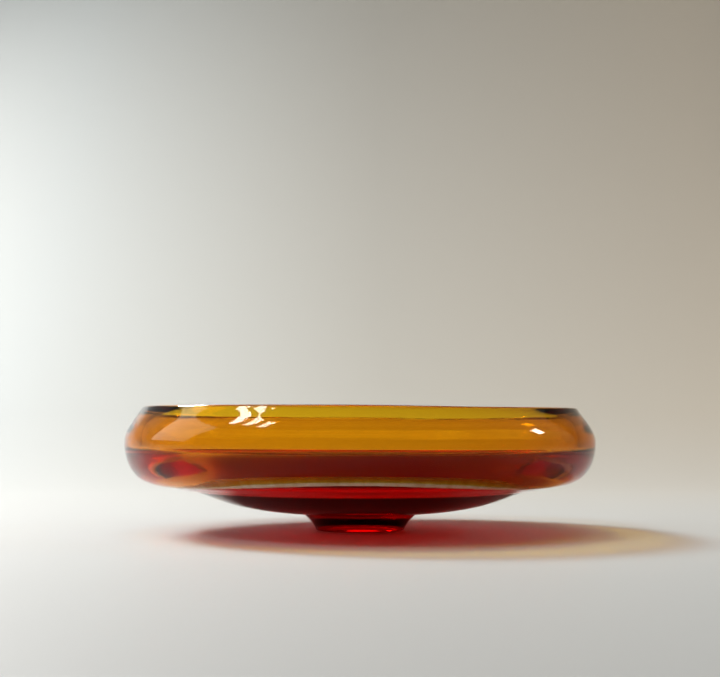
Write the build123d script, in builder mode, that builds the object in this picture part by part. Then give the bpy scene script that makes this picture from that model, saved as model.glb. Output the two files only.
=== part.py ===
from build123d import *
import os

# Hand-made art glass bowl, in millimetres.  +Z is up and is the axis of symmetry.
# The origin is the middle of the foot's flat underside, so the bowl stands on z = 0.
# It is cased glass: a thick clear body, lined with thin amber and ruby glass.
# Every piece is turned about +Z from a section drawn in the XZ plane.

# Main sizes
widest_radius = 150.0
widest_height = 56.5
rim_height = 79.0
rim_outer_radius = 138.2
rim_inner_radius = 124.3
rim_outer_rounding = 2.2
rim_inner_rounding = 2.4

# Underside: a cone above the foot, a faint crease, then a flatter ring out to the bulge
foot_height = 10.5
foot_top_radius = 36.5
crease_radius = 106.0
crease_height = 25.5
shoulder_radius = 130.0
shoulder_height = 29.5

# Inside of the bowl
cavity_radius = 139.2
cavity_widest_height = 54.6
floor_edge_radius = 135.0
floor_edge_height = 49.2
floor_middle_height = 20.5

# Coloured linings, and the fine cream thread on the floor where the colours meet
lining_thickness = 1.4
lining_steps = 12
thread_radius = 123.2
thread_width = 1.0

# Foot, with the shallow round hollow where the pontil mark was ground away
foot_base_radius = 28.0
foot_waist_radius = 31.4
foot_waist_height = 5.6
foot_edge_rounding = 1.0
pontil_radius = 12.0
pontil_depth = 0.8
pontil_doming = 0.2

os.makedirs("parts", exist_ok=True)


# The inside of the bowl, from the lip down the wall, round the corner and in to the axis
def draw_inside():
    wall = Spline(
        (rim_inner_radius, rim_height),
        (130, 73),
        (134.7, 67.2),
        (137.9, 61.2),
        (cavity_radius, cavity_widest_height),
        tangents=((1, -1), (0, -1)),
    )
    corner = Spline(
        (cavity_radius, cavity_widest_height),
        (138.2, 51.8),
        (floor_edge_radius, floor_edge_height),
        tangents=((0, -1), (-12, -8)),
    )
    floor = Spline(
        (floor_edge_radius, floor_edge_height),
        (125, 43.2),
        (114, 37.6),
        (98, 31.4),
        (60, 23.6),
        (0, floor_middle_height),
        tangents=((-12, -8), (-1, 0)),
    )
    return wall, corner, floor


# Points one lining's thickness into the glass behind a curve of the inside
def points_behind(curve):
    points = []
    for step in range(lining_steps + 1):
        share = step / lining_steps
        along = curve % share
        points.append(curve @ share + Vector(-along.Y, along.X) * lining_thickness)
    return points


# All the glass above the foot, in section
with BuildSketch() as glass_section:
    with BuildLine():
        Line((0, foot_height), (foot_top_radius, foot_height))
        Spline(
            (foot_top_radius, foot_height),
            (60, 12.7),
            (80, 16.4),
            (crease_radius, crease_height),
        )
        Line((crease_radius, crease_height), (shoulder_radius, shoulder_height))
        Spline(
            (shoulder_radius, shoulder_height),
            (141.8, 34.8),
            (148.2, 45),
            (widest_radius, widest_height),
            tangents=((6, 1), (0, 1)),
        )
        Spline(
            (widest_radius, widest_height),
            (147.4, 65.2),
            (rim_outer_radius, rim_height),
            tangents=((0, 1), (-6, 10)),
        )
        Line((rim_outer_radius, rim_height), (rim_inner_radius, rim_height))
        draw_inside()
        Line((0, floor_middle_height), (0, foot_height))
    make_face()
    inner_corner = glass_section.vertices().group_by(Axis.Y)[-1].sort_by(Axis.X)[0]
    fillet(inner_corner, radius=rim_inner_rounding)
    outer_corner = glass_section.vertices().group_by(Axis.Y)[-1].sort_by(Axis.X)[-1]
    fillet(outer_corner, radius=rim_outer_rounding)

# The skin of glass next to the air, which is where the colours are
with BuildSketch() as lining_section:
    with BuildLine():
        wall, corner, floor = draw_inside()
        wall_back = Spline(*points_behind(wall))
        corner_back = Spline(*points_behind(corner))
        floor_back = Spline(*points_behind(floor))
        Line(wall @ 0, wall_back @ 0)
        Line(floor @ 1, floor_back @ 1)
    make_face()
    add(glass_section.sketch, mode=Mode.INTERSECT)

# The ring of that skin which is the cream thread, and all the floor inside the ring
with BuildSketch() as thread_ring:
    with Locations((thread_radius, 0)):
        Rectangle(thread_width, rim_height, align=(Align.CENTER, Align.MIN))

with BuildSketch() as inside_thread:
    Rectangle(
        thread_radius - thread_width / 2,
        rim_height,
        align=(Align.MIN, Align.MIN),
    )


# Thick clear body: the outside of the bowl, from the lip down to the foot
with BuildPart() as clear_casing:
    with BuildSketch(Plane.XZ):
        add(glass_section.sketch)
        add(lining_section.sketch, mode=Mode.SUBTRACT)
    revolve(axis=Axis.Z)

clear_casing.part.label = "clear_casing"
export_step(clear_casing.part, "parts/clear_casing.step")


# Amber layer inside the wall, from the lip round to the outer part of the floor
with BuildPart() as amber_lining:
    with BuildSketch(Plane.XZ):
        add(lining_section.sketch)
        add(thread_ring.sketch, mode=Mode.SUBTRACT)
        add(inside_thread.sketch, mode=Mode.SUBTRACT)
    revolve(axis=Axis.Z)

amber_lining.part.label = "amber_lining"
export_step(amber_lining.part, "parts/amber_lining.step")


# Fine thread of milky cream glass between the colours: a pale line round the bowl
with BuildPart() as cream_thread:
    with BuildSketch(Plane.XZ):
        add(lining_section.sketch)
        add(thread_ring.sketch, mode=Mode.INTERSECT)
    revolve(axis=Axis.Z)

cream_thread.part.label = "cream_thread"
export_step(cream_thread.part, "parts/cream_thread.step")


# Ruby layer over the floor of the bowl
with BuildPart() as ruby_lining:
    with BuildSketch(Plane.XZ):
        add(lining_section.sketch)
        add(inside_thread.sketch, mode=Mode.INTERSECT)
    revolve(axis=Axis.Z)

ruby_lining.part.label = "ruby_lining"
export_step(ruby_lining.part, "parts/ruby_lining.step")


# Small foot in ruby glass, added hot under the casing, with hollowed sides
with BuildPart() as ruby_foot:
    with BuildSketch(Plane.XZ) as foot_section:
        with BuildLine():
            ThreePointArc(
                (foot_base_radius, 0),
                (foot_waist_radius, foot_waist_height),
                (foot_top_radius, foot_height),
            )
            Line((foot_top_radius, foot_height), (0, foot_height))
            Line((0, foot_height), (0, pontil_depth))
            SagittaArc((0, pontil_depth), (pontil_radius, 0), pontil_doming)
            Line((pontil_radius, 0), (foot_base_radius, 0))
        make_face()
    revolve(axis=Axis.Z)
    base_edge = ruby_foot.edges().group_by(Axis.Z)[0].sort_by(SortBy.RADIUS)[-1]
    fillet(base_edge, radius=foot_edge_rounding)

ruby_foot.part.label = "ruby_foot"
export_step(ruby_foot.part, "parts/ruby_foot.step")
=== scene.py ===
import math

import bpy
import numpy as np
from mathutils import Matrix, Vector


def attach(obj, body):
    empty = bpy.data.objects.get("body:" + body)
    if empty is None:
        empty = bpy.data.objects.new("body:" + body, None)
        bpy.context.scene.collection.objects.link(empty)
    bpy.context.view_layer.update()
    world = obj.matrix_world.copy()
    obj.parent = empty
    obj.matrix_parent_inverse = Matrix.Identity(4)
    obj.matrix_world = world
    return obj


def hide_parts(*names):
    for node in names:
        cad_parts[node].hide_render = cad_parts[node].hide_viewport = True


# Cased glass bowl, about +Z.  Lengths in the dictionaries are millimetres, the scene is in metres.
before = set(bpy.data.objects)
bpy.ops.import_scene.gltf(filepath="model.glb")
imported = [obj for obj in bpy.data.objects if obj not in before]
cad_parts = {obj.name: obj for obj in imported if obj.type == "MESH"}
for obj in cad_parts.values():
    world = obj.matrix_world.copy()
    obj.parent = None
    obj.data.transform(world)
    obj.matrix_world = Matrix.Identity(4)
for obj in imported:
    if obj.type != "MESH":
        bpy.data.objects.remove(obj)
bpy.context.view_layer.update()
bpy.ops.object.select_all(action="DESELECT")
scene = bpy.context.scene
scene.view_settings.view_transform = "Standard"
scene.view_settings.look = "Medium High Contrast"
scene.cycles.max_bounces = 40
scene.cycles.glossy_bounces = 16
scene.cycles.transmission_bounces = 24
scene.cycles.transparent_max_bounces = 32
scene.cycles.sample_clamp_indirect = 6.0

millimetre = 0.001

body = {
    "footHeight": 10.5,
    "footTopRadius": 36.5,
    "underside": [(36.5, 10.5), (60, 12.7), (80, 16.4), (106, 25.5)],
    "bulge": [(130, 29.5), (141.8, 34.8), (148.2, 45), (150, 56.5)],
    "upperWall": [(150, 56.5), (147.4, 65.2), (138.2, 79)],
    "innerWall": [(124.3, 79), (130, 73), (134.7, 67.2), (137.9, 61.2), (139.2, 54.6)],
    "innerCorner": [(139.2, 54.6), (138.2, 51.8), (135, 49.2)],
    "innerFloor": [(135, 49.2), (125, 43.2), (114, 37.6), (98, 31.4), (60, 23.6), (0, 20.5)],
    "outerLipRadius": 2.2,
    "innerLipRadius": 2.4,
    "liningThickness": 1.4,
    "threadRadius": 123.2,
    "threadWidth": 1.0,
    "fusedOverlap": 0.05,  # pieces run this far into each other where they are fused
    "fusedBeyond": 0.1,  # a face further than this from the open surface is a fused one
    "floorBelow": 60,  # everything inside the bowl under this height is corner or floor
    "rimHeight": 79,
    "creaseAngle": 32,
    "weld": 0.004,
    "turns": 224,
}

# The rim is a touch lower on one side, and nothing about it is quite round
unevenness = {"rimDrop": 1.3, "dropWidth": 0.035, "ovalShare": 0.0007, "ovalTurn": 0.7}


# A bent strip through the points, sampled finely, as (radius, height) rows
def smoothRun(points, startAlong=None, endAlong=None, steps=20):
    points = np.array(points, float)
    gaps = np.linalg.norm(np.diff(points, axis=0), axis=1)
    last = len(points) - 1
    weights = np.zeros((last + 1, last + 1))
    pulls = np.zeros((last + 1, 2))
    for i in range(1, last):
        weights[i, i - 1] = 1 / gaps[i - 1]
        weights[i, i] = 2 / gaps[i - 1] + 2 / gaps[i]
        weights[i, i + 1] = 1 / gaps[i]
        pulls[i] = 3 * (points[i] - points[i - 1]) / gaps[i - 1] ** 2
        pulls[i] += 3 * (points[i + 1] - points[i]) / gaps[i] ** 2
    ends = ((0, 1, gaps[0], startAlong), (last, last - 1, gaps[-1], endAlong))
    for end, beside, gap, along in ends:
        if along is None:
            weights[end, end] = 2
            weights[end, beside] = 1
            pulls[end] = 3 * (points[max(end, beside)] - points[min(end, beside)]) / gap
        else:
            weights[end, end] = 1
            pulls[end] = np.array(along, float) / math.hypot(*along)
    slopes = np.linalg.solve(weights, pulls)
    run = []
    for i in range(last):
        for step in range(steps):
            t = step / steps
            run.append(
                (1 + 2 * t) * (1 - t) ** 2 * points[i]
                + t * (1 - t) ** 2 * gaps[i] * slopes[i]
                + t * t * (3 - 2 * t) * points[i + 1]
                + t * t * (t - 1) * gaps[i] * slopes[i + 1]
            )
    run.append(points[last])
    return np.array(run)


# An arc of the given radius that eases the corner between two directions
def lipArc(corner, towardsA, towardsB, radius, steps=14):
    corner = np.array(corner, float)
    a = np.array(towardsA, float) / math.hypot(*towardsA)
    b = np.array(towardsB, float) / math.hypot(*towardsB)
    half = math.acos(float(np.clip(a @ b, -1, 1))) / 2
    setBack = radius / math.tan(half)
    centre = corner + (a + b) / np.linalg.norm(a + b) * radius / math.sin(half)
    start, end = corner + a * setBack - centre, corner + b * setBack - centre
    sweep = math.acos(float(np.clip(start @ end / radius**2, -1, 1)))
    arc = [
        centre + (math.sin(sweep * (1 - t)) * start + math.sin(sweep * t) * end) / math.sin(sweep)
        for t in np.linspace(0, 1, steps)
    ]
    return np.array(arc)


# Where two lines of points first cross: the crossing and the two places in the lists
def crossing(lineA, lineB):
    for i in range(len(lineA) - 1):
        along = lineA[i + 1] - lineA[i]
        for j in range(len(lineB) - 1):
            other = lineB[j + 1] - lineB[j]
            turn = along[0] * other[1] - along[1] * other[0]
            if abs(turn) < 1e-12:
                continue
            gap = lineB[j] - lineA[i]
            s = (gap[0] * other[1] - gap[1] * other[0]) / turn
            t = (gap[0] * along[1] - gap[1] * along[0]) / turn
            if 0 <= s <= 1 and 0 <= t <= 1:
                return lineA[i] + along * s, i + 1, j + 1


# The point of a line at a radius; the line runs inwards
def pointAt(line, radius):
    return np.array([radius, np.interp(-radius, -line[:, 0], line[:, 1])])


# The stretch of a line between two radii, with its end points put in exactly
def betweenRadii(line, outer, inner):
    middle = line[(line[:, 0] < outer - 1e-6) & (line[:, 0] > inner + 1e-6)]
    return np.vstack([pointAt(line, outer), middle, pointAt(line, inner)])


# How far each point lies from a line of points
def distanceTo(line, points):
    best = np.full(len(points), 1e9)
    for i in range(len(line) - 1):
        along = line[i + 1] - line[i]
        length = max(float(along @ along), 1e-12)
        share = np.clip((points - line[i]) @ along / length, 0, 1)
        best = np.minimum(best, np.linalg.norm(points - line[i] - share[:, None] * along, axis=1))
    return best


# Inside of the bowl: the wall, the corner and the floor in one line from the lip to the axis
lipSteps = 6  # the lip's rounding leaves the wall in the direction of this point
wall = smoothRun(body["innerWall"], (1, -1), (0, -1))
corner = smoothRun(body["innerCorner"], (0, -1), (-12, -8))
floor = smoothRun(body["innerFloor"], (-12, -8), (-1, 0))
inside = np.vstack([wall, corner[1:], floor[1:]])
rimCorner = np.array(body["innerWall"][0], float)
innerArc = lipArc(rimCorner, (1, 0), wall[lipSteps] - rimCorner, body["innerLipRadius"])
wallStart = int(np.argmax(inside[:, 1] < innerArc[-1, 1]))
airLine = np.vstack([innerArc, inside[wallStart:]])


# The same line, a depth below the surface of the glass
def belowSurface(depth):
    slopes = np.gradient(inside, axis=0)
    slopes /= np.linalg.norm(slopes, axis=1)[:, None]
    return inside + np.column_stack([-slopes[:, 1], slopes[:, 0]]) * depth


casingBack = belowSurface(body["liningThickness"])
casingBack[-1] = (0, casingBack[-1, 1])
liningBack = belowSurface(body["liningThickness"] + body["fusedOverlap"])
liningBack[-1] = (0, liningBack[-1, 1])

# Outside of the bowl, from the foot out and up to the lip
outerCorner = np.array(body["upperWall"][-1], float)
upperWall = smoothRun(body["upperWall"], (0, 1), (-6, 10))
outerArc = lipArc(outerCorner, (6, -10), (-1, 0), body["outerLipRadius"])
upperWall = upperWall[upperWall[:, 1] < outerArc[0, 1]]
outside = np.vstack(
    [
        smoothRun(body["underside"]),
        smoothRun(body["bulge"], (6, 1), (0, 1)),
        upperWall[1:],
        outerArc,
    ]
)
print("sections drawn")


# The same small unevenness for every piece, so that they stay fitted together
def unevenPlace(x, y, z):
    share = (z / (body["rimHeight"] * millimetre)) ** 2
    angle = math.atan2(y, x)
    bulge = 1 + math.cos(2 * angle + unevenness["ovalTurn"])
    oval = 1 - unevenness["ovalShare"] * bulge * share
    lowSide = 0.5 + 0.5 * math.tanh((x - unevenness["dropWidth"]) / unevenness["dropWidth"])
    drop = unevenness["rimDrop"] * millimetre * share * lowSide
    return x * oval, y * oval, z - drop


# Spins an outline about the axis into one closed piece; a face far from openLines is a fused one
def turned(name, outline, material, openLines):
    bpy.ops.object.select_all(action="DESELECT")
    bpy.ops.mesh.primitive_circle_add(vertices=len(outline), radius=0.1, fill_type="NOTHING")
    piece = bpy.context.object
    piece.name = name
    piece.data.name = name
    for vertex, (radius, height) in zip(piece.data.vertices, outline):
        vertex.co = (radius * millimetre, 0, height * millimetre)
    bpy.ops.object.modifier_add(type="SCREW")
    screw = piece.modifiers[-1]
    screw.axis = "Z"
    screw.angle = 2 * math.pi
    screw.steps = screw.render_steps = body["turns"]
    bpy.ops.object.modifier_apply(modifier=screw.name)
    bpy.ops.object.mode_set(mode="EDIT")
    bpy.ops.mesh.select_all(action="SELECT")
    bpy.ops.mesh.remove_doubles(threshold=body["weld"] * millimetre)
    bpy.ops.mesh.delete_loose(use_faces=False)
    bpy.ops.mesh.select_all(action="SELECT")
    bpy.ops.mesh.normals_make_consistent(inside=False)
    bpy.ops.object.mode_set(mode="OBJECT")
    mesh = piece.data
    centres = np.array([p.center for p in mesh.polygons]) / millimetre
    sections = np.column_stack([np.hypot(centres[:, 0], centres[:, 1]), centres[:, 2]])
    rows, places = np.unique(sections.round(3), axis=0, return_inverse=True)
    nearest = np.min([distanceTo(line, rows) for line in openLines], axis=0)[places.ravel()]
    fused = mesh.attributes.new("fused", "FLOAT", "FACE")
    isFused = nearest > body["fusedBeyond"]
    fused.data.foreach_set("value", isFused.astype(np.float32))
    for vertex in mesh.vertices:
        vertex.co = unevenPlace(*vertex.co)
    bpy.ops.object.shade_smooth_by_angle(angle=math.radians(body["creaseAngle"]))
    mesh.materials.clear()
    mesh.materials.append(material)
    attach(piece, "root")
    print(name, len(mesh.polygons), "faces", int(isFused.sum()), "fused")
    return piece


# Makes one node and fills in its plain inputs
def addNode(tree, kind, **settings):
    node = tree.nodes.new(kind)
    for key, value in settings.items():
        if key in node.inputs:
            node.inputs[key].default_value = value
        else:
            setattr(node, key, value)
    return node


anyGlass = {
    "openBend": 1.5,
    "fusedBend": 1.0,
    "ringDetail": 3.0,
    "ringRoughness": 0.55,
    "waveDetail": 1.0,
    "waveRoughness": 0.4,
    "markDetail": 4.0,
    "markRange": (0.45, 0.8),
    "tintRange": (0.3, 0.7),
    "densityMargin": 1.02,
}


# Glass that takes light away evenly with depth; absorbed is per metre for red, green and blue
def glassMaterial(name, look):
    material = bpy.data.materials.new(name)
    material.use_nodes = True
    tree = material.node_tree
    tree.nodes.clear()
    link = tree.links.new
    place = addNode(tree, "ShaderNodeTexCoord")
    # fine rings left by the turning of the iron: noise that depends on radius and height only
    level = addNode(tree, "ShaderNodeVectorMath", operation="MULTIPLY")
    level.inputs[1].default_value = (1, 1, 0)
    radius = addNode(tree, "ShaderNodeVectorMath", operation="LENGTH")
    split = addNode(tree, "ShaderNodeSeparateXYZ")
    section = addNode(tree, "ShaderNodeCombineXYZ")
    rings = addNode(tree, "ShaderNodeTexNoise", Scale=look["ringScale"])
    rings.inputs["Detail"].default_value = anyGlass["ringDetail"]
    rings.inputs["Roughness"].default_value = anyGlass["ringRoughness"]
    link(place.outputs["Object"], level.inputs[0])
    link(level.outputs[0], radius.inputs[0])
    link(place.outputs["Object"], split.inputs[0])
    link(radius.outputs["Value"], section.inputs["X"])
    link(split.outputs["Z"], section.inputs["Z"])
    link(section.outputs[0], rings.inputs["Vector"])
    # slow waves in the surface, as glass has that was shaped hot by hand
    waves = addNode(tree, "ShaderNodeTexNoise", Scale=look["waveScale"])
    waves.inputs["Detail"].default_value = anyGlass["waveDetail"]
    waves.inputs["Roughness"].default_value = anyGlass["waveRoughness"]
    link(place.outputs["Object"], waves.inputs["Vector"])
    waveBump = addNode(tree, "ShaderNodeBump", Strength=1.0, Distance=look["waveHeight"])
    ringBump = addNode(tree, "ShaderNodeBump", Strength=1.0, Distance=look["ringHeight"])
    link(waves.outputs["Fac"], waveBump.inputs["Height"])
    link(rings.outputs["Fac"], ringBump.inputs["Height"])
    link(waveBump.outputs[0], ringBump.inputs["Normal"])
    # a little more or less colour from ring to ring, and soft handling marks in the polish
    tint = addNode(tree, "ShaderNodeValToRGB")
    tint.color_ramp.elements[0].position = anyGlass["tintRange"][0]
    tint.color_ramp.elements[0].color = (*look["deepTint"], 1)
    tint.color_ramp.elements[1].position = anyGlass["tintRange"][1]
    tint.color_ramp.elements[1].color = (*look["paleTint"], 1)
    link(rings.outputs["Fac"], tint.inputs["Fac"])
    marks = addNode(tree, "ShaderNodeTexNoise", Scale=look["markScale"])
    marks.inputs["Detail"].default_value = anyGlass["markDetail"]
    polish = addNode(tree, "ShaderNodeMapRange")
    polish.inputs["From Min"].default_value = anyGlass["markRange"][0]
    polish.inputs["From Max"].default_value = anyGlass["markRange"][1]
    polish.inputs["To Min"].default_value = look["roughness"][0]
    polish.inputs["To Max"].default_value = look["roughness"][1]
    link(place.outputs["Object"], marks.inputs["Vector"])
    link(marks.outputs["Fac"], polish.inputs["Value"])
    glass = addNode(tree, "ShaderNodeBsdfPrincipled")
    glass.inputs["Transmission Weight"].default_value = 1.0
    glass.inputs["IOR"].default_value = anyGlass["openBend"]
    glass.inputs["Specular Tint"].default_value = (*look["sheen"], 1)
    link(tint.outputs["Color"], glass.inputs["Base Color"])
    link(polish.outputs["Result"], glass.inputs["Roughness"])
    link(ringBump.outputs[0], glass.inputs["Normal"])
    # a face fused to the next piece doesn't bend light: glass runs on behind it
    joined = addNode(tree, "ShaderNodeAttribute", attribute_name="fused")
    bend = addNode(tree, "ShaderNodeMapRange")
    bend.inputs["To Min"].default_value = anyGlass["openBend"]
    bend.inputs["To Max"].default_value = anyGlass["fusedBend"]
    link(joined.outputs["Fac"], bend.inputs["Value"])
    link(bend.outputs["Result"], glass.inputs["IOR"])
    # lamps and the room reach the table straight through the glass, tinted by its depth
    path = addNode(tree, "ShaderNodeLightPath")
    clear = addNode(tree, "ShaderNodeBsdfTransparent", Color=(*look["lampTint"], 1))
    forLamps = addNode(tree, "ShaderNodeMixShader")
    forRoom = addNode(tree, "ShaderNodeMixShader")
    link(path.outputs["Is Shadow Ray"], forLamps.inputs[0])
    link(glass.outputs[0], forLamps.inputs[1])
    link(clear.outputs[0], forLamps.inputs[2])
    link(path.outputs["Is Diffuse Ray"], forRoom.inputs[0])
    link(forLamps.outputs[0], forRoom.inputs[1])
    link(clear.outputs[0], forRoom.inputs[2])
    output = addNode(tree, "ShaderNodeOutputMaterial")
    link(forRoom.outputs[0], output.inputs["Surface"])
    strongest = max(look["absorbed"]) * anyGlass["densityMargin"]
    depth = addNode(tree, "ShaderNodeVolumeAbsorption", Density=strongest)
    depth.inputs["Color"].default_value = (*[1 - a / strongest for a in look["absorbed"]], 1)
    link(depth.outputs[0], output.inputs["Volume"])
    return material


clearLook = {
    "absorbed": (1.0, 0.7, 1.1),
    "ringScale": 620.0,
    "ringHeight": 0.00002,
    "waveScale": 24.0,
    "waveHeight": 0.00016,
    "markScale": 55.0,
    "roughness": (0.0, 0.012),
    "lampTint": (0.9, 0.9, 0.9),
    "sheen": (0.45, 0.45, 0.45),
    "deepTint": (0.965, 0.97, 0.965),
    "paleTint": (1.0, 1.0, 1.0),
}
amberLook = {
    "absorbed": (66.0, 335.0, 2500.0),
    "ringScale": 900.0,
    "ringHeight": 0.00001,
    "waveScale": 30.0,
    "waveHeight": 0.00014,
    "markScale": 60.0,
    "roughness": (0.0, 0.012),
    "lampTint": (0.9, 0.84, 0.8),
    "sheen": (0.6, 0.6, 0.6),
    "deepTint": (1.0, 0.93, 0.86),
    "paleTint": (1.0, 1.0, 1.0),
}
rubyLook = {
    "absorbed": (150.0, 3600.0, 3900.0),
    "ringScale": 900.0,
    "ringHeight": 0.00001,
    "waveScale": 26.0,
    "waveHeight": 0.00014,
    "markScale": 60.0,
    "roughness": (0.0, 0.012),
    "lampTint": (0.54, 0.5, 0.45),
    "sheen": (0.6, 0.6, 0.6),
    "deepTint": (0.94, 0.88, 0.88),
    "paleTint": (1.0, 1.0, 1.0),
}
footLook = dict(rubyLook, absorbed=(12.0, 700.0, 760.0), roughness=(0.01, 0.05))


# Milky cream glass of the fine thread: the light that falls on it is scattered
def threadMaterial(name, look):
    material = bpy.data.materials.new(name)
    material.use_nodes = True
    tree = material.node_tree
    shader = tree.nodes["Principled BSDF"]
    place = addNode(tree, "ShaderNodeTexCoord")
    cloud = addNode(tree, "ShaderNodeTexNoise", Scale=look["cloudScale"])
    cloud.inputs["Detail"].default_value = look["cloudDetail"]
    milk = addNode(tree, "ShaderNodeValToRGB")
    milk.color_ramp.elements[0].position = look["milkRange"][0]
    milk.color_ramp.elements[0].color = (*look["deepColour"], 1)
    milk.color_ramp.elements[1].position = look["milkRange"][1]
    milk.color_ramp.elements[1].color = (*look["paleColour"], 1)
    ripple = addNode(tree, "ShaderNodeBump", Distance=look["rippleHeight"])
    ripple.inputs["Strength"].default_value = look["rippleStrength"]
    polish = addNode(tree, "ShaderNodeMapRange")
    polish.inputs["To Min"].default_value = look["roughness"][0]
    polish.inputs["To Max"].default_value = look["roughness"][1]
    link = tree.links.new
    link(place.outputs["Object"], cloud.inputs["Vector"])
    link(cloud.outputs["Fac"], milk.inputs["Fac"])
    link(cloud.outputs["Fac"], ripple.inputs["Height"])
    link(cloud.outputs["Fac"], polish.inputs["Value"])
    link(milk.outputs["Color"], shader.inputs["Base Color"])
    link(polish.outputs["Result"], shader.inputs["Roughness"])
    link(ripple.outputs[0], shader.inputs["Normal"])
    return material


creamGlass = threadMaterial(
    "creamGlass",
    {
        "cloudScale": 160.0,
        "cloudDetail": 3.0,
        "milkRange": (0.35, 0.65),
        "deepColour": (0.84, 0.66, 0.44),
        "paleColour": (0.95, 0.86, 0.7),
        "rippleHeight": 0.0001,
        "rippleStrength": 0.5,
        "roughness": (0.12, 0.3),
    },
)
clearGlass = glassMaterial("clearGlass", clearLook)
amberGlass = glassMaterial("amberGlass", amberLook)
rubyGlass = glassMaterial("rubyGlass", rubyLook)
footGlass = glassMaterial("footGlass", footLook)
print("glasses mixed")

# Thick clear body, open to the air outside, on the lip and round the foot
lipJoin, arcPlace, backPlace = crossing(innerArc, casingBack)
casingOutline = np.vstack(
    [
        [(0, body["footHeight"])],
        outside,
        innerArc[:arcPlace],
        [lipJoin],
        casingBack[backPlace:],
    ]
)
lipTop = np.vstack([outside, innerArc[:arcPlace], [lipJoin]])
casing = turned("clearCasing", casingOutline, clearGlass, [lipTop])
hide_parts("clear_casing")

# The floor's part of the open surface, and of the colours' back
floorLine = inside[len(wall) + len(corner) :]
floorBack = liningBack[len(wall) + len(corner) :]

# Amber layer from the lip round to the outer floor
threadOuter = body["threadRadius"] + body["threadWidth"] / 2
threadInner = body["threadRadius"] - body["threadWidth"] / 2
amberJoin, arcPlace, backPlace = crossing(innerArc, liningBack)
openWall = np.vstack([[amberJoin], innerArc[arcPlace:], inside[wallStart:]])
backWall = liningBack[backPlace:]
openWall = openWall[(openWall[:, 0] > threadOuter) | (openWall[:, 1] > body["floorBelow"])]
backWall = backWall[(backWall[:, 0] > threadOuter) | (backWall[:, 1] > body["floorBelow"])]
openWall = np.vstack([openWall, [pointAt(floorLine, threadOuter)]])
backWall = np.vstack([backWall, [pointAt(floorBack, threadOuter)]])
amber = turned("amberLining", np.vstack([openWall, backWall[::-1]]), amberGlass, [airLine])
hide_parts("amber_lining")

# Fine cream thread where the colours meet, and ruby over the floor inside it
lap = body["fusedOverlap"]
threadTop = betweenRadii(floorLine, threadOuter + lap, threadInner - lap)
threadBack = betweenRadii(floorBack, threadOuter + lap, threadInner - lap)
thread = turned("creamThread", np.vstack([threadTop, threadBack[::-1]]), creamGlass, [airLine])
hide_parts("cream_thread")
rubyTop = betweenRadii(floorLine, threadInner, 0)
rubyBack = betweenRadii(floorBack, threadInner, 0)
ruby = turned("rubyLining", np.vstack([rubyTop, rubyBack[::-1]]), rubyGlass, [airLine])
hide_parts("ruby_lining")

# Small foot: hollowed sides, eased base edge, and the round hollow ground in its middle
foot = {
    "side": [(28, 0), (31.4, 5.6), (36.5, 10.5)],
    "baseEdge": 1.0,
    "pontil": [(0, 0.8), (6.2, 0.55), (12, 0)],
    "sideSteps": 16,
    "edgeSteps": 8,
    "pontilSteps": 10,
    "edgeLeaves": 3,  # the base edge's rounding leaves the side in the direction of this point
}
footSide = smoothRun(foot["side"], steps=foot["sideSteps"])
sideAlong = footSide[foot["edgeLeaves"]] - footSide[0]
baseArc = lipArc(footSide[0], (-1, 0), sideAlong, foot["baseEdge"], steps=foot["edgeSteps"])
footSide = footSide[footSide[:, 1] > baseArc[-1, 1]]
pontil = smoothRun(foot["pontil"], (1, 0), None, steps=foot["pontilSteps"])
footOpen = np.vstack([pontil, baseArc, footSide])
footTopHeight = body["footHeight"] + lap
footTop = [(body["footTopRadius"], footTopHeight), (0, footTopHeight)]
footPiece = turned("rubyFoot", np.vstack([footOpen, footTop]), footGlass, [footOpen])
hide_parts("ruby_foot")
print("pieces made")

# Pale card with painted light and shade: towards the back it is painted darker than the table, in
# cool window light on the window's side and warm light on the far side
room = {
    "tableColour": (0.57, 0.58, 0.57),
    # painted light and shade of the card's upright part, from the window's side across to the far
    # side
    "paintedCoolLight": (0.42, 0.44, 0.435),
    "paintedNeutralLight": (0.44, 0.425, 0.385),
    "paintedWarmLight": (0.58, 0.53, 0.45),
    "near": -1.8,
    "length": 5.6,
    "width": 4.4,
    "paintedLightStart": -0.05,
    "paintedLightEnd": 0.9,
    "curveStart": 0.5,
    "curveRadius": 1.1,
    "below": 0.0001,
    "cardRoughness": 0.6,
    "sideReach": 0.75,
    "coolLightUpTo": 0.2,
    "neutralLightAt": 0.52,
    "warmLightFrom": 0.85,
    "duskColour": (1.0, 0.86, 0.7),
    "duskSeen": 0.33,
    "duskAsLight": 0.07,
}


def plainMaterial(name, colour, roughness):
    material = bpy.data.materials.new(name)
    material.use_nodes = True
    shader = material.node_tree.nodes["Principled BSDF"]
    shader.inputs["Base Color"].default_value = (*colour, 1)
    shader.inputs["Roughness"].default_value = roughness
    return material


# one sheet of pale card that lies on the table and curves up behind the bowl
bpy.ops.mesh.primitive_grid_add(x_subdivisions=2, y_subdivisions=140, size=1)
card = bpy.context.object
card.name = "card"
for vertex in card.data.vertices:
    along = room["near"] + (vertex.co.y + 0.5) * room["length"]
    rise = min(max((along - room["curveStart"]) / room["curveRadius"], 0), math.pi / 2)
    climb = max(along - room["curveStart"] - room["curveRadius"] * math.pi / 2, 0)
    vertex.co.x *= room["width"]
    vertex.co.y = min(along, room["curveStart"]) + room["curveRadius"] * math.sin(rise)
    vertex.co.z = room["curveRadius"] * (1 - math.cos(rise)) + climb - room["below"]
bpy.ops.object.shade_smooth()
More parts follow.
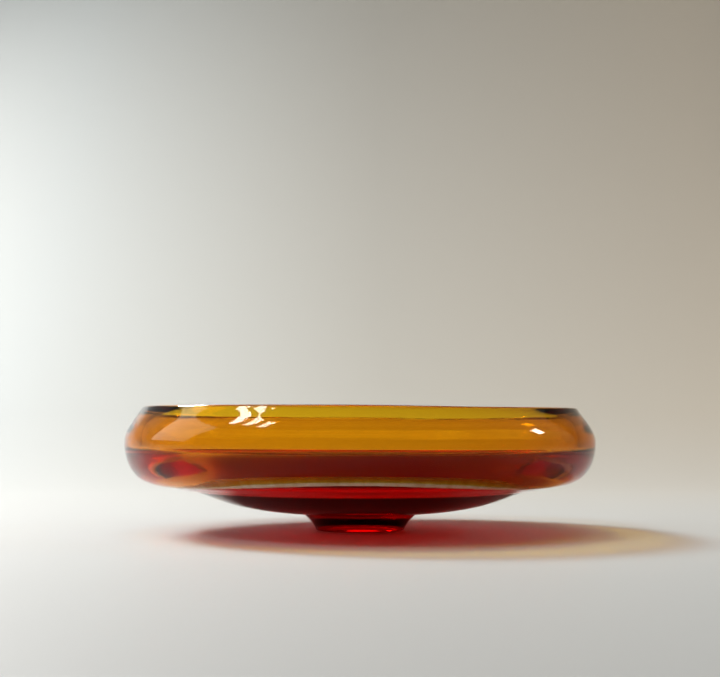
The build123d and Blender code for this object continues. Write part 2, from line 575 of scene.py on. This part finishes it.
# the card's colour is painted light and shade: a cool, neutral and warm ramp from side to side,
# faded in from the table colour towards the back
cardPaintedLight = plainMaterial("cardPaintedLight", room["tableColour"], room["cardRoughness"])
tree = cardPaintedLight.node_tree
where = addNode(tree, "ShaderNodeTexCoord")
sides = addNode(tree, "ShaderNodeSeparateXYZ")
share = addNode(tree, "ShaderNodeMapRange")
share.inputs["From Min"].default_value = -room["sideReach"]
share.inputs["From Max"].default_value = room["sideReach"]
upward = addNode(tree, "ShaderNodeMapRange")
upward.inputs["From Min"].default_value = room["paintedLightStart"]
upward.inputs["From Max"].default_value = room["paintedLightEnd"]
lightAndShadeRamp = addNode(tree, "ShaderNodeValToRGB")
lightAndShadeRamp.color_ramp.elements[0].color = (*room["paintedCoolLight"], 1)
lightAndShadeRamp.color_ramp.elements[0].position = room["coolLightUpTo"]
lightAndShadeRamp.color_ramp.elements[1].color = (*room["paintedWarmLight"], 1)
lightAndShadeRamp.color_ramp.elements[1].position = room["warmLightFrom"]
middle = lightAndShadeRamp.color_ramp.elements.new(room["neutralLightAt"])
middle.color = (*room["paintedNeutralLight"], 1)
paintedLightMix = addNode(tree, "ShaderNodeMix", data_type="RGBA")
paintedLightMix.inputs[6].default_value = (*room["tableColour"], 1)
tree.links.new(where.outputs["Object"], sides.inputs[0])
tree.links.new(sides.outputs["X"], share.inputs["Value"])
tree.links.new(sides.outputs["Y"], upward.inputs["Value"])
tree.links.new(share.outputs["Result"], lightAndShadeRamp.inputs["Fac"])
tree.links.new(upward.outputs["Result"], paintedLightMix.inputs[0])
tree.links.new(lightAndShadeRamp.outputs["Color"], paintedLightMix.inputs[7])
tree.links.new(paintedLightMix.outputs[2], tree.nodes["Principled BSDF"].inputs["Base Color"])
card.data.materials.append(cardPaintedLight)

# the room behind the camera: seen in the glass as a warm dusk, and weaker as a light
world = bpy.data.worlds.new("room")
scene.world = world
world.use_nodes = True
dusk = world.node_tree.nodes["Background"]
dusk.inputs["Color"].default_value = (*room["duskColour"], 1)
seen = addNode(world.node_tree, "ShaderNodeLightPath")
strength = addNode(world.node_tree, "ShaderNodeMapRange")
strength.inputs["To Min"].default_value = room["duskSeen"]
strength.inputs["To Max"].default_value = room["duskAsLight"]
link = world.node_tree.links.new
link(seen.outputs["Is Diffuse Ray"], strength.inputs["Value"])
link(strength.outputs["Result"], dusk.inputs["Strength"])


# A soft rectangular light that faces the bowl
def softLight(name, place, size, power, colour, aim=(0, 0, 0.04), spread=180):
    bpy.ops.object.light_add(type="AREA", location=place)
    light = bpy.context.object
    light.name = name
    light.data.shape = "RECTANGLE"
    light.data.size, light.data.size_y = size
    light.data.energy = power
    light.data.color = colour
    light.data.spread = math.radians(spread)
    light.rotation_euler = (Vector(aim) - Vector(place)).to_track_quat("-Z", "Y").to_euler()


softLight("overhead", (-1.0, 1.2, 1.3), (0.36, 0.36), 18, (1.0, 0.985, 0.96), spread=135)
softLight("ceiling", (-0.2, 1.0, 2.6), (1.8, 1.4), 16, (0.97, 0.985, 1.0), aim=(0, 0.4, 0))
softLight("sideWindow", (-2.4, 0.6, 1.2), (1.4, 1.6), 12, (0.93, 0.97, 1.0), aim=(0, 0.5, 0.2))
# three panes of one window, in a slanting row
panes = {"count": 3, "first": (-1.5, -0.75, 2.3), "step": (-0.08, 0.3, -0.08), "size": (0.18, 0.36)}
for pane in range(panes["count"]):
    place = tuple(start + step * pane for start, step in zip(panes["first"], panes["step"]))
    softLight("window" + str(pane), place, panes["size"], 4.5, (0.96, 0.98, 1.0))
softLight("lamp", (1.8, 0.45, 1.15), (0.2, 0.22), 3.2, (1.0, 0.97, 0.92))
print("room lit")

view = {
    "distance": 1.0,
    "height": 0.072,
    "lens": 77.65,
    "sensor": 36.0,
    "tiltUp": 2.894,
    "clipStart": 0.01,
}
bpy.ops.object.camera_add(
    location=(0, -view["distance"], view["height"]),
    rotation=(math.radians(90 + view["tiltUp"]), 0, 0),
)
camera = bpy.context.object
camera.name = "viewpoint"
camera.data.sensor_width = view["sensor"]
camera.data.lens = view["lens"]
camera.data.clip_start = view["clipStart"]
scene.camera = camera
